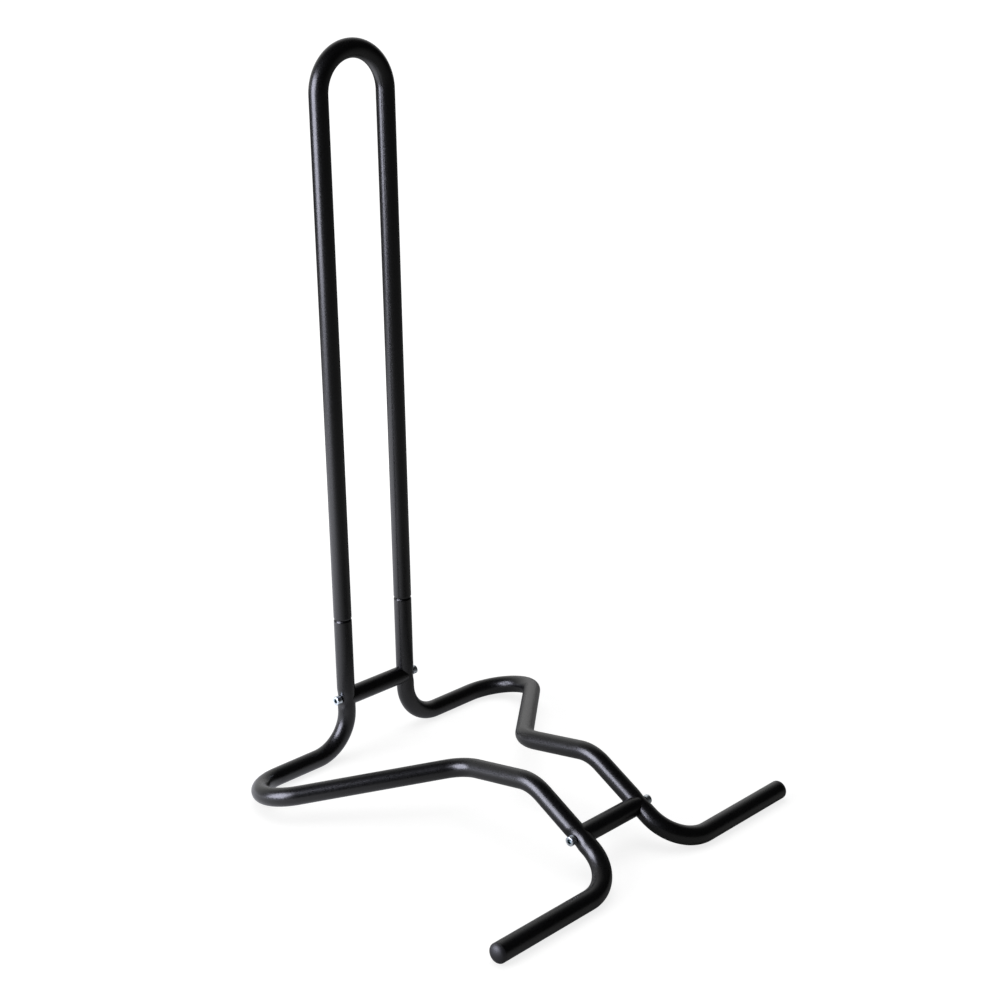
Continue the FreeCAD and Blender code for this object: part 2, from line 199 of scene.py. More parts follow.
class TubeWalker:
    """Draws a round wall through a mesh by pushing its open end forward, run by run and bend by bend."""

    def __init__(self, centre: Vector, heading: Vector, radius: float, points: int = RING_POINTS) -> None:
        """Starts the wall with an open ring.

        Args:
            centre: Middle of the ring.
            heading: The way the wall will grow.
            radius: Radius of the ring.
            points: Points round the ring.
        """
        self.mesh = bmesh.new()
        self.centre = centre.copy()
        self.heading = heading.normalized()
        self.radius = radius
        self.points = points
        upright = self.heading.to_track_quat("Z", "Y").to_matrix().to_4x4()
        ring = bmesh.ops.create_circle(
            self.mesh,
            cap_ends=False,
            segments=points,
            radius=radius,
            matrix=Matrix.Translation(centre) @ upright,
        )
        self.verts: list[bmesh.types.BMVert] = list(ring["verts"])
        around = (edge for vert in self.verts for edge in vert.link_edges)
        self.edges: list[bmesh.types.BMEdge] = list(dict.fromkeys(around))
        self.first_edges = list(self.edges)

    def _take(self, made: Sequence[MeshItem]) -> None:
        """Makes the newest ring the open end."""
        self.verts = [item for item in made if isinstance(item, bmesh.types.BMVert)]
        self.edges = [item for item in made if isinstance(item, bmesh.types.BMEdge)]

    def _push(self, advance: Vector) -> None:
        """Extrudes the open end and moves it.

        Args:
            advance: How far, and which way.
        """
        made = bmesh.ops.extrude_edge_only(self.mesh, edges=self.edges)["geom"]
        self._take(made)
        bmesh.ops.translate(self.mesh, verts=self.verts, vec=advance)
        self.centre += advance

    def _spin(self, steps: int, pivot: Vector, axis: Vector, angle: float, advance: Vector) -> None:
        """Extrudes the open end several times, turning or moving it.

        Args:
            steps: How many times.
            pivot: A place on the axis.
            axis: What it turns about.
            angle: How far it turns in all.
            advance: How far it moves each time.
        """
        made = bmesh.ops.spin(
            self.mesh,
            geom=self.verts + self.edges,
            cent=pivot,
            axis=axis,
            dvec=advance,
            angle=angle,
            steps=steps,
            use_merge=False,
            use_normal_flip=False,
            use_duplicate=False,
        )
        self._take(made["geom_last"])

    def run(self, length: float, steps: int = 1) -> None:
        """Grows straight on.

        Args:
            length: How far.
            steps: How many rings it takes.
        """
        advance = self.heading * (length / steps)
        self._spin(steps, self.centre, self.heading, 0.0, advance)
        self.centre += advance * steps

    def run_past(self, length: float, spots: Sequence[FineSpot]) -> None:
        """Grows straight on, with close rings beside each fine spot that the wall passes.

        Args:
            length: How far.
            spots: Places that need close rings.
        """
        start, heading = self.centre.copy(), self.heading.copy()
        done = 0.0
        passed = [(heading.dot(spot.centre - start), spot) for spot in spots]
        for along, spot in sorted(passed, key=lambda pair: pair[0]):
            beside = (start + heading * along - spot.centre).length < spot.reach
            if beside and spot.reach < along < length - spot.reach:
                self.run(along - spot.reach - done)
                self.run(2 * spot.reach, spot.rings)
                done = along + spot.reach
        self.run(length - done)

    def bend(self, towards: Vector, radius: float, spacing: float) -> None:
        """Grows round a bend.

        Args:
            towards: The way the wall points after the bend.
            radius: Bend radius, to the wall's centre line.
            spacing: About how far apart the new rings are, along the centre line.
        """
        angle = self.heading.angle(towards)
        axis = self.heading.cross(towards).normalized()
        pivot = self.centre + axis.cross(self.heading) * radius
        steps = max(1, round(radius * angle / spacing))
        self._spin(steps, pivot, axis, angle, Vector())
        self.centre = pivot + Matrix.Rotation(angle, 3, axis) @ (self.centre - pivot)
        self.heading = towards.normalized()

    def follow(
        self,
        corners: Sequence[Vector],
        radius: float,
        spacing: float,
        spots: Sequence[FineSpot] = (),
    ) -> None:
        """Grows along straight runs joined by bends of one radius.

        Args:
            corners: Where the runs would meet; the first is where the open end is.
            radius: Bend radius, to the wall's centre line.
            spacing: About how far apart the rings are in the bends.
            spots: Places on the straight runs that need close rings.
        """
        for corner, after in zip(corners[1:], corners[2:]):
            leaving = (after - corner).normalized()
            tangent = radius * math.tan(self.heading.angle(leaving) / 2)
            length = (corner - self.centre).length - tangent
            if length > LEAST_RUN:
                self.run_past(length, spots)
            self.bend(leaving, radius, spacing)
        self.run_past((corners[-1] - self.centre).length, spots)

    def step(self, advance: float, radius: float) -> None:
        """Grows one ring and changes its radius.

        Args:
            advance: How far along the heading; 0 makes a flat shoulder.
            radius: The new ring's radius.
        """
        self._push(self.heading * advance)
        scale = radius / self.radius
        bmesh.ops.scale(
            self.mesh,
            vec=(scale, scale, scale),
            space=Matrix.Translation(-self.centre),
            verts=self.verts,
        )
        self.radius = radius

    def along(self, profile: Sequence[tuple[float, float]]) -> None:
        """Takes a step to each place of a profile but its first, where the open end is.

        Args:
            profile: For each ring, its distance from one end of the profile, and its radius.
        """
        for (before, _), (distance, radius) in zip(profile, profile[1:]):
            self.step(abs(distance - before), radius)

    def turn_back(self, radius: float) -> None:
        """Turns the wall in or out at its end, and back the way it came."""
        self.step(0, radius)
        self.heading = -self.heading

    def place(self, at: Callable[[int, Vector], Vector]) -> None:
        """Moves each point of the open end.

        Args:
            at: Gives a point's new place from its number round the ring and its old place.
        """
        reference = (self.verts[0].co - self.centre).normalized()
        across = self.heading.cross(reference)

        def turn_of(vert: bmesh.types.BMVert) -> float:
            """How far round the ring a point is, in radians."""
            arm = vert.co - self.centre
            return math.atan2(arm.dot(across), arm.dot(reference)) % math.tau

        full = math.tau / self.points
        for vert in self.verts:
            vert.co = at(round(turn_of(vert) / full) % self.points, vert.co)

    def close_to_point(self, advance: float) -> None:
        """Ends the wall in a pole on the axis.

        Args:
            advance: How far the pole is from the open end.
        """
        self._push(self.heading * advance)
        bmesh.ops.pointmerge(self.mesh, verts=self.verts, merge_co=self.centre)
        self.verts = []
        self.edges = []

    def open_first_ring(self, centre: Vector, radius: float) -> None:
        """Goes back to the first ring once the other end is closed, to grow another wall from it.

        Args:
            centre: Middle of the first ring.
            radius: Radius of the first ring.
        """
        self.edges = self.first_edges
        self.verts = list(dict.fromkeys(vert for edge in self.edges for vert in edge.verts))
        self.centre = centre.copy()
        self.radius = radius

    def join_ends(self) -> None:
        """Bridges the open end to the first ring."""
        bmesh.ops.bridge_loops(self.mesh, edges=self.first_edges + self.edges)

    def finish(self, name: str) -> bpy.types.Object:
        """Makes the mesh an object with its normals outwards.

        Args:
            name: The piece's name.

        Returns:
            The piece, at the origin.
        """
        bmesh.ops.recalc_face_normals(self.mesh, faces=self.mesh.faces)
        data = bpy.data.meshes.new(name)
        self.mesh.to_mesh(data)
        self.mesh.free()
        data.shade_smooth()
        data.set_sharp_from_angle(angle=SHARP_ANGLE)
        piece = bpy.data.objects.new(name, data)
        bpy.context.scene.collection.objects.link(piece)
        return piece


# Finishes


class Nodes:
    """A material or group's node tree, with short ways to add and link nodes."""

    def __init__(self, tree: bpy.types.NodeTree) -> None:
        """Wraps an empty tree."""
        self.tree = tree
        self.column = 0

    def add(
        self,
        kind: str,
        inputs: dict[str | int, object] | None = None,
        **settings: object,
    ) -> bpy.types.Node:
        """Adds a node.

        Args:
            kind: Its type, without the ShaderNode before it.
            inputs: Values or sockets for its inputs.
            **settings: Its own settings.

        Returns:
            The node.
        """
        node = self.tree.nodes.new(kind if kind.startswith("Node") else f"ShaderNode{kind}")
        node.location = (self.column * NODE_GAP, 0)
        self.column += 1
        for key, value in settings.items():
            setattr(node, key, value)
        for key, value in (inputs or {}).items():
            if isinstance(value, bpy.types.NodeSocket):
                self.tree.links.new(value, node.inputs[key])
            else:
                node.inputs[key].default_value = value
        return node

    def math(self, operation: str, *values: object) -> bpy.types.NodeSocket:
        """Adds a Math node and returns its result."""
        return self.add("Math", dict(enumerate(values)), operation=operation).outputs[0]

    def mix(self, share: bpy.types.NodeSocket, first: object, second: object) -> bpy.types.NodeSocket:
        """Adds a colour mix.

        Args:
            share: How much of the second colour there is.
            first: A colour or a socket.
            second: A colour or a socket.

        Returns:
            The mixed colour.
        """
        ends = (end if isinstance(end, bpy.types.NodeSocket) else (*end, 1) for end in (first, second))
        return self.add("Mix", {0: share, **dict(zip(MIX_COLOURS, ends))}, data_type="RGBA").outputs[2]

    def fade(
        self,
        value: bpy.types.NodeSocket,
        edge: tuple[float, float],
        ends: tuple[object, object],
        shape: str = "SMOOTHSTEP",
    ) -> bpy.types.NodeSocket:
        """Fades from one number to another.

        Args:
            value: What the fade follows.
            edge: The values where it starts and ends.
            ends: The numbers, or sockets, there.
            shape: SMOOTHSTEP or LINEAR.

        Returns:
            The faded number.
        """
        inputs = {"Value": value, 1: edge[0], 2: edge[1], 3: ends[0], 4: ends[1]}
        return self.add("MapRange", inputs, interpolation_type=shape).outputs[0]

    def group(self, tree: bpy.types.NodeTree, **values: float) -> bpy.types.Node:
        """Adds a node group and sets its inputs, named in lower case."""
        inputs = {name.capitalize(): value for name, value in values.items()}
        return self.add("Group", inputs, node_tree=tree)


def new_group(
    name: str,
    inputs: dict[str, float],
    outputs: Sequence[str],
) -> tuple[bpy.types.NodeTree, Nodes]:
    """Starts a shader node group of plain numbers.

    Args:
        name: The group's name.
        inputs: Its inputs and their values where nothing is set.
        outputs: Its outputs.

    Returns:
        The group, and its nodes.
    """
    group = bpy.data.node_groups.new(name, "ShaderNodeTree")
    for label, value in inputs.items():
        socket = group.interface.new_socket(label, in_out="INPUT", socket_type="NodeSocketFloat")
        socket.default_value = value
    for label in outputs:
        group.interface.new_socket(label, in_out="OUTPUT", socket_type="NodeSocketFloat")
    return group, Nodes(group)


def make_grain_group() -> bpy.types.NodeTree:
    """The fine texture of a sprayed, plated or moulded surface.

    Returns:
        A group that puts out a height for the bump and a number between two limits.
    """
    inputs = {"Cell": 1.0, "Detail": 2.0, "Low": 0.0, "High": 1.0}
    group, nodes = new_group("surface_grain", inputs, ("Height", "Value"))
    given = nodes.add("NodeGroupInput").outputs
    place = nodes.add("TexCoord").outputs["Object"]
    scale = nodes.math("DIVIDE", 1 / MM, given["Cell"])
    noise = nodes.add("TexNoise", {"Vector": place, "Scale": scale, "Detail": given["Detail"]})
    spread = nodes.fade(noise.outputs[0], (0.3, 0.7), (given["Low"], given["High"]))
    nodes.add("NodeGroupOutput", {"Height": noise.outputs[0], "Value": spread})
    return group


def make_scuff_group() -> bpy.types.NodeTree:
    """Faint marks of handling: thin, broken lines in a few patches.

    Returns:
        A group that puts out a mask, 1 on a mark.
    """
    middle, line_width, patch_scale, patch_edge = 0.5, 0.012, 0.6, (0.5, 0.7)
    group, nodes = new_group("handling_marks", {"Length": 30.0, "Amount": 0.5}, ("Mask",))
    given = nodes.add("NodeGroupInput").outputs
    place = nodes.add("TexCoord").outputs["Object"]
    scale = nodes.math("DIVIDE", 1 / MM, given["Length"])
    lines = nodes.add("TexNoise", {"Vector": place, "Scale": scale, "Detail": 3.0, "Distortion": 2.5})
    ridge = nodes.math("ABSOLUTE", nodes.math("SUBTRACT", lines.outputs[0], middle))
    thin = nodes.fade(ridge, (0.0, line_width), (1.0, 0.0), "LINEAR")
    wider = nodes.math("MULTIPLY", scale, patch_scale)
    patches = nodes.add("TexNoise", {"Vector": place, "Scale": wider})
    near = nodes.fade(patches.outputs[0], patch_edge, (0.0, given["Amount"]), "LINEAR")
    nodes.add("NodeGroupOutput", {"Mask": nodes.math("MULTIPLY", thin, near)})
    return group


@dataclass(frozen=True)
class SharedEffects:
    """The node groups that several finishes use."""

    grain: bpy.types.NodeTree = field(default_factory=make_grain_group)
    scuffs: bpy.types.NodeTree = field(default_factory=make_scuff_group)


@dataclass(frozen=True)
class Finish:
    """One finish: a base colour that varies softly, a roughness that varies with the grain, and a bump.

    Attributes:
        slot: The material slot it is for.
        dark: Darkest base colour.
        light: Lightest base colour.
        smoothest: Least roughness.
        roughest: Most roughness.
        cell: Size of the grain, in millimetres.
        bump_depth: Height of the grain.
        metallic: 1 on bare or plated metal.
        specular: Strength of the gloss of what isn't metal.
        scuff_length: Length of the marks of handling, in millimetres.
        scuff_amount: How much the marks show.
        socket_shade_colour: Base colour painted as shade where the mesh is marked as inside a screw's
            socket.
    """

    slot: Slot
    dark: Colour
    light: Colour
    smoothest: float
    roughest: float
    cell: float
    bump_depth: float
    metallic: float = 0.0
    specular: float = 0.5
    scuff_length: float = 30.0
    scuff_amount: float = 0.3
    socket_shade_colour: Colour | None = None

    def material(self, effects: SharedEffects) -> bpy.types.Material:
        """Builds the finish.

        Args:
            effects: The node groups that the finishes share.

        Returns:
            The material.
        """
        made = bpy.data.materials.new(self.slot.value)
        made.use_nodes = True
        made.node_tree.nodes.clear()
        nodes = Nodes(made.node_tree)
        cloud = nodes.group(effects.grain, cell=CLOUD_CELL, detail=CLOUD_DETAIL)
        colour = nodes.mix(cloud.outputs["Value"], self.dark, self.light)
        # Painted shade: inside a screw's socket the base colour turns darker, where shade falls.
        if self.socket_shade_colour is not None:
            socket_shade = nodes.add("Attribute", attribute_name=SOCKET_SHADE_LAYER).outputs["Fac"]
            colour = nodes.mix(socket_shade, colour, self.socket_shade_colour)
        grain = nodes.group(effects.grain, cell=self.cell, low=self.smoothest, high=self.roughest)
        scuffs = nodes.group(effects.scuffs, length=self.scuff_length, amount=self.scuff_amount)
        marked = scuffs.outputs["Mask"]
        roughness = nodes.math("MULTIPLY_ADD", marked, SCUFF_ROUGHNESS, grain.outputs["Value"])
        relief = {"Strength": 1.0, "Distance": self.bump_depth, "Height": grain.outputs["Height"]}
        bump = nodes.add("Bump", relief)
        shader = nodes.add(
            "BsdfPrincipled",
            {
                "Base Color": colour,
                "Metallic": self.metallic,
                "Roughness": roughness,
                "IOR": GLOSS_IOR,
                "Specular IOR Level": self.specular,
                "Normal": bump.outputs[0],
            },
        )
        nodes.add("OutputMaterial", {"Surface": shader.outputs[0]})
        return made


POWDER_COAT = Finish(
    slot=Slot.COAT,
    dark=(0.0012, 0.0012, 0.0014),
    light=(0.0022, 0.0022, 0.0025),
    smoothest=0.27,
    roughest=0.35,
    cell=1.6,
    bump_depth=0.008 * MM,
)
ZINC_PLATE = Finish(
    slot=Slot.ZINC,
    dark=(0.62, 0.68, 0.72),
    light=(0.80, 0.86, 0.90),
    smoothest=0.22,
    roughest=0.38,
    cell=0.35,
    bump_depth=0.01 * MM,
    metallic=1.0,
    scuff_length=4.0,
    # Painted shade: the darker colour inside the hex socket.
    socket_shade_colour=(0.2, 0.26, 0.28),
)
PLAIN_STEEL = Finish(
    slot=Slot.STEEL,
    dark=(0.38, 0.37, 0.36),
    light=(0.50, 0.49, 0.48),
    smoothest=0.35,
    roughest=0.50,
    cell=0.5,
    bump_depth=0.01 * MM,
    metallic=1.0,
    scuff_length=5.0,
)
BLACK_PLASTIC = Finish(
    slot=Slot.PLASTIC,
    dark=(0.012, 0.012, 0.015),
    light=(0.018, 0.018, 0.022),
    smoothest=0.48,
    roughest=0.60,
    cell=0.6,
    bump_depth=0.02 * MM,
    scuff_length=8.0,
)


class Wardrobe:
    """Builds the materials once and dresses pieces in them."""

    def __init__(self) -> None:
        """Builds the shared effects and every finish."""
        effects = SharedEffects()
        finishes = (POWDER_COAT, ZINC_PLATE, PLAIN_STEEL, BLACK_PLASTIC)
        self.materials = {finish.slot: finish.material(effects) for finish in finishes}

    def dress(self, piece: bpy.types.Object, slot: Slot) -> None:
        """Gives a piece one finish all over."""
        piece.data.materials.clear()
        piece.data.materials.append(self.materials[slot])

    def mount(self, piece: bpy.types.Object, slot: Slot, body: Body, node: str) -> None:
        """Dresses a new piece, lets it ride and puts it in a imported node's place.

        Args:
            piece: The new piece.
            slot: Its finish.
            body: The body it moves with.
            node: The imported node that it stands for.
        """
        self.dress(piece, slot)
        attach(piece, body.value)
        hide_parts(node)
        log.info("%s stands for %s: %d faces", piece.name, node, len(piece.data.polygons))

    def keep(self, node: str, slot: Slot) -> None:
        """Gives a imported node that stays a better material."""
        self.dress(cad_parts[node], slot)
        log.info("%s keeps its packed shape", node)


# Sub-assemblies


@dataclass(frozen=True)
class SeamGroove:
    """The shallow groove where the hoop meets a side frame, half of it on each tube."""

    depth: float = 1.2 * MM
    flank: float = 2.6 * MM
    rings: int = 8

    def profile(self, tube: float) -> list[tuple[float, float]]:
        """Rings from the seam out to the full tube.

        Args:
            tube: Radius of the full tube.

        Returns:
            For each ring, its distance from the seam and its radius.
        """
        shares = [index / self.rings for index in range(self.rings + 1)]
        return [(self.flank * share, tube - self.depth * (1 - share) ** 2) for share in shares]


@dataclass(frozen=True)
class Hoop:
    """The tall inverted U that the wheel leans in: two legs and a half-round top of one tube."""

    sizes: RackSizes
    groove: SeamGroove = SeamGroove()
    spacing: float = 2.5 * MM
    inner_spacing: float = 8 * MM

    def corners(self, foot: float) -> list[Vector]:
        """The route's corners, from the right leg's foot to the left leg's.

        Args:
            foot: How high the two feet are.

        Returns:
            Four places on the tube's centre line.
        """
        centre_top = self.sizes.top - self.sizes.radius
        return [
            Vector((sign * self.sizes.leg_x, self.sizes.leg_y, height))
            for sign, height in ((1, foot), (1, centre_top), (-1, centre_top), (-1, foot))
        ]

    def build(self) -> bpy.types.Object:
        """Builds the hoop, hollow and open at both feet.

        Returns:
            The hoop.
        """
        sizes = self.sizes
        lip = self.groove.profile(sizes.radius)
        corners = self.corners(sizes.seam)
        walker = TubeWalker(corners[0], Vector((0, 0, 1)), lip[0][1])
        walker.along(lip)
        high_corners = self.corners(sizes.seam + self.groove.flank)
        walker.follow(high_corners, sizes.leg_x, self.spacing)
        walker.along(lip[::-1])
        walker.turn_back(sizes.bore)
        walker.follow(corners[::-1], sizes.leg_x, self.inner_spacing)
        walker.join_ends()
        return walker.finish("coated_hoop")

    def dress(self, wardrobe: Wardrobe) -> None:
        """Builds the hoop and puts it in its node's place."""
        wardrobe.mount(self.build(), Slot.COAT, Body.HOOP, "upper_hoop")


@dataclass(frozen=True)
class ScrewDish:
    """The soft dent that a tightened screw leaves in the side of a tube."""

    depth: float = 1.1 * MM
    flat: float = 5 * MM
    reach: float = 13 * MM

    def press(self, mesh: bmesh.types.BMesh, side: Side, leg_x: float, centre: Vector) -> None:
        """Pushes the outer side of the tube in round a screw.

        Args:
            mesh: The tube.
            side: The side of the wheel that the tube is on.
            leg_x: Distance of the tube's axis from the middle plane.
            centre: The screw's middle.
        """
        for vert in mesh.verts:
            outboard = vert.co.x * side.value - leg_x
            distance = (vert.co.yz - centre.yz).length
            if outboard > 0 and distance < self.reach:
                vert.co.x -= side.value * self.depth * soft_dent(distance, self.flat, self.reach)


@dataclass(frozen=True)
class SideFrame:
    """One bent side tube, from the spigot in its leg to the open end of its front foot."""

    sizes: RackSizes
    side: Side
    groove: SeamGroove = SeamGroove()
    dish: ScrewDish = ScrewDish()
    rear_reach: float = 261.5 * MM
    knee_setback: float = 192 * MM
    knee_height: float = 55.5 * MM
    crest_height: float = 74.5 * MM
    spigot_lead: float = 1.5 * MM
    end_round: float = 0.35 * MM
    spacing: float = 2.5 * MM
    inner_spacing: float = 8 * MM

    def corners(self) -> list[Vector]:
        """The route's corners, from the end of the groove in the leg to the end of the foot.

        Returns:
            Seven places on the tube's centre line.
        """
        sizes = self.sizes
        floor, leg_y = sizes.radius, sizes.leg_y
        crest_y = (self.crest_height - floor) / math.tan(sizes.slope) - leg_y
        places = (
            (sizes.leg_x, leg_y, sizes.seam - self.groove.flank),
            (sizes.leg_x, leg_y, floor),
            (self.rear_reach, leg_y, floor),
            (sizes.leg_x, leg_y - self.knee_setback, self.knee_height),
            (sizes.leg_x, crest_y, self.crest_height),
            (sizes.leg_x, -leg_y, floor),
            (sizes.foot_end, -leg_y, floor),
        )
        return [Vector((self.side.value * x, y, z)) for x, y, z in places]

    def walk_spigot(self) -> TubeWalker:
        """Starts at the spigot's tip and comes down to the end of the groove.

        Returns:
            The wall so far.
        """
        sizes = self.sizes
        lead = self.spigot_lead
        tip = Vector((self.side.value * sizes.leg_x, sizes.leg_y, sizes.spigot_tip))
        walker = TubeWalker(tip, Vector((0, 0, -1)), sizes.spigot - lead / 2)
        walker.step(lead, sizes.spigot)
        walker.run(sizes.spigot_tip - sizes.seam - lead)
        lip = self.groove.profile(sizes.radius)
        walker.step(0, lip[0][1])
        walker.along(lip)
        return walker

    def build(self) -> bpy.types.Object:
        """Builds the tube, hollow, with its dents round the screws.

        Returns:
            The side frame.
        """
        sizes = self.sizes
        corners = self.corners()
        screws = [node_centre(screw_node(brace, self.side)) for brace in Brace]
        spots = [FineSpot(screw, self.dish.reach) for screw in screws]
        walker = self.walk_spigot()
        walker.follow(corners, sizes.bend_radius, self.spacing, spots)
        walker.step(0, sizes.radius - self.end_round)
        walker.turn_back(sizes.bore)
        walker.follow(corners[::-1], sizes.bend_radius, self.inner_spacing)
        walker.step(0, sizes.spigot - sizes.wall)
        walker.run(sizes.spigot_tip - walker.centre.z)
        walker.join_ends()
        for screw in screws:
            self.dish.press(walker.mesh, self.side, sizes.leg_x, screw)
        return walker.finish(f"coated_side_{self.side.word}")

    def dress(self, wardrobe: Wardrobe) -> None:
        """Builds the side frame and puts it in its node's place."""
        wardrobe.mount(self.build(), Slot.COAT, Body.BASE, f"{self.side.word}_side_frame")


@dataclass(frozen=True)
class Spacer:
    """A short tube between the side frames, its ends cut to the round of the side tubes."""

    sizes: RackSizes
    brace: Brace
    play: float = 0.05 * MM
    edge_round: float = 0.3 * MM

    def side_tube_direction(self) -> Vector:
        """The way the side tubes run where this spacer meets them.

        Returns:
            A unit vector.
        """
        if self.brace is Brace.REAR:
            return Vector((0, 0, 1))
        return Vector((0, math.cos(self.sizes.slope), math.sin(self.sizes.slope)))

    def build(self) -> bpy.types.Object:
        """Builds the spacer, hollow, with coped ends.

        Returns:
            The spacer.
        """
        sizes = self.sizes
        low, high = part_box(f"{self.brace.value}_spacer")
        centre = (low + high) / 2
        half = high.x
        straight = sizes.leg_x - sizes.radius - sizes.wall
        across = Vector((1, 0, 0)).cross(self.side_tube_direction())
        walker = TubeWalker(centre - Vector((half, 0, 0)), Vector((1, 0, 0)), sizes.radius)
        runs = (half - straight, 2 * straight, half - straight)
        for length in runs:
            walker.run(length)
        rims = walker.first_edges + walker.edges
        walker.turn_back(sizes.bore)
        for length in runs:
            walker.run(length)
        walker.join_ends()
        clear = sizes.radius + self.play
        for vert in walker.mesh.verts:
            if abs(vert.co.x) > half - 0.1 * MM:
                aside = (vert.co - centre).dot(across)
                cope = sizes.leg_x - math.sqrt(clear * clear - aside * aside)
                vert.co.x = math.copysign(min(cope, half), vert.co.x)
        bmesh.ops.bevel(
            walker.mesh,
            geom=rims,
            offset=self.edge_round,
            segments=2,
            profile=0.5,
            affect="EDGES",
            clamp_overlap=True,
            material=-1,
        )
        return walker.finish(f"coated_spacer_{self.brace.value}")

    def dress(self, wardrobe: Wardrobe) -> None:
        """Builds the spacer, puts it in its node's place and dresses the plugs inside it.

        Args:
            wardrobe: Holds the materials.
        """
        wardrobe.mount(self.build(), Slot.COAT, Body.BASE, f"{self.brace.value}_spacer")
        for side in Side:
            wardrobe.keep(f"insert_{self.brace.value}_{side.word}", Slot.STEEL)


@dataclass(frozen=True)
class CapScrew:
    """A zinc-plated socket-head screw, its head on the outside of a side tube."""

    sizes: RackSizes
    brace: Brace
    side: Side
    shank: float = 2.95 * MM
    point: float = 0.8 * MM
    head: float = 5 * MM
    head_height: float = 6 * MM
    edge_round: float = 0.6 * MM
    knurl_depth: float = 0.1 * MM
    across_flats: float = 5 * MM
    socket_depth: float = 3 * MM
    socket_mouth: float = 0.25 * MM
    points: int = 72
    edge_rings: int = 4
    socket_reach: float = 0.6

    def hexagon(self, walker: TubeWalker, advance: float) -> None:
        """Grows one ring and draws it in to the socket's hexagon.

        Args:
            walker: The screw so far.
            advance: How far the ring is from the last.
        """
        apothem = self.across_flats / 2
        walker.step(advance, apothem)
        sector = math.tau / 6
        centre = walker.centre

        def onto_flat(number: int, place: Vector) -> Vector:
            """Draws a point in or out to the hexagon."""
            off_flat = (number * math.tau / self.points) % sector - sector / 2
            return centre + (place - centre).normalized() * (apothem / math.cos(off_flat))

        walker.place(onto_flat)

    def knurl(self, walker: TubeWalker) -> None:
        """Presses every second point of the open end in.

        Args:
            walker: The screw so far.
        """
        centre = walker.centre

        def pressed(number: int, place: Vector) -> Vector:
            """Presses a point in where its number is odd."""
            inwards = self.knurl_depth if number % 2 else 0.0
            return place + (centre - place).normalized() * inwards

        walker.place(pressed)

    def build(self) -> bpy.types.Object:
        """Builds the screw from its tip to the bottom of its socket.

        Returns:
            The screw.
        """
        low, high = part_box(screw_node(self.brace, self.side))
        centre = (low + high) / 2
        outwards = Vector((self.side.value, 0, 0))
        length = high.x - low.x
        tip = centre - outwards * (length / 2)
        under_head = length - self.head_height
        walker = TubeWalker(tip, outwards, self.shank - self.point, self.points)
        walker.step(self.point, self.shank)
        walker.run(under_head - self.point)
        small = self.edge_round / 3
        walker.step(0, self.head - small)
        walker.step(small, self.head)
        walker.step(small, self.head)
        self.knurl(walker)
        straight = self.head_height - self.edge_round - 3 * small
        walker.step(straight, self.head)
        walker.step(small, self.head)
        self.round_edge(walker)
        self.hexagon(walker, 0)
        walker.heading = -walker.heading
        self.hexagon(walker, self.socket_mouth)
        self.hexagon(walker, self.socket_depth - self.socket_mouth)
        walker.close_to_point(self.point)
        bmesh.ops.holes_fill(walker.mesh, edges=walker.first_edges, sides=0)
        self.mark_socket_shade(walker.mesh, centre + outwards * (length / 2), outwards)
        return walker.finish(f"zinc_screw_{self.brace.value}_{self.side.word}")

    def mark_socket_shade(self, mesh: bmesh.types.BMesh, face: Vector, outwards: Vector) -> None:
        """Marks the inside of the socket for painted shade: a darker base colour that deepens from the
        mouth down.

        Args:
            mesh: The screw.
            face: Middle of the head's outer face.
            outwards: The way the face looks.
        """
        # Painted shade mask: 0 at the socket's mouth, rising to 1 a little way down, where the base colour
        # turns dark.
        layer = mesh.verts.layers.float.new(SOCKET_SHADE_LAYER)
        for vert in mesh.verts:
            below = (face - vert.co).dot(outwards)
            aside = (vert.co - face + outwards * below).length
            if aside < self.across_flats * self.socket_reach and below < self.head_height - self.point:
                vert[layer] = min(below / self.socket_mouth, 1.0)

    def round_edge(self, walker: TubeWalker) -> None:
        """Rounds the head's outer edge and crosses its face to the socket's mouth.

        Args:
            walker: The screw so far.
        """
        turns = [index / self.edge_rings * math.pi / 2 for index in range(self.edge_rings + 1)]
        flat = self.head - self.edge_round
        walker.along([(self.edge_round * math.sin(t), flat + self.edge_round * math.cos(t)) for t in turns])
        walker.step(0, self.across_flats / 2 / math.cos(math.pi / 6) + self.socket_mouth)

    def dress(self, wardrobe: Wardrobe) -> None:
        """Builds the screw and puts it in its node's place."""
        wardrobe.mount(self.build(), Slot.ZINC, Body.BASE, screw_node(self.brace, self.side))


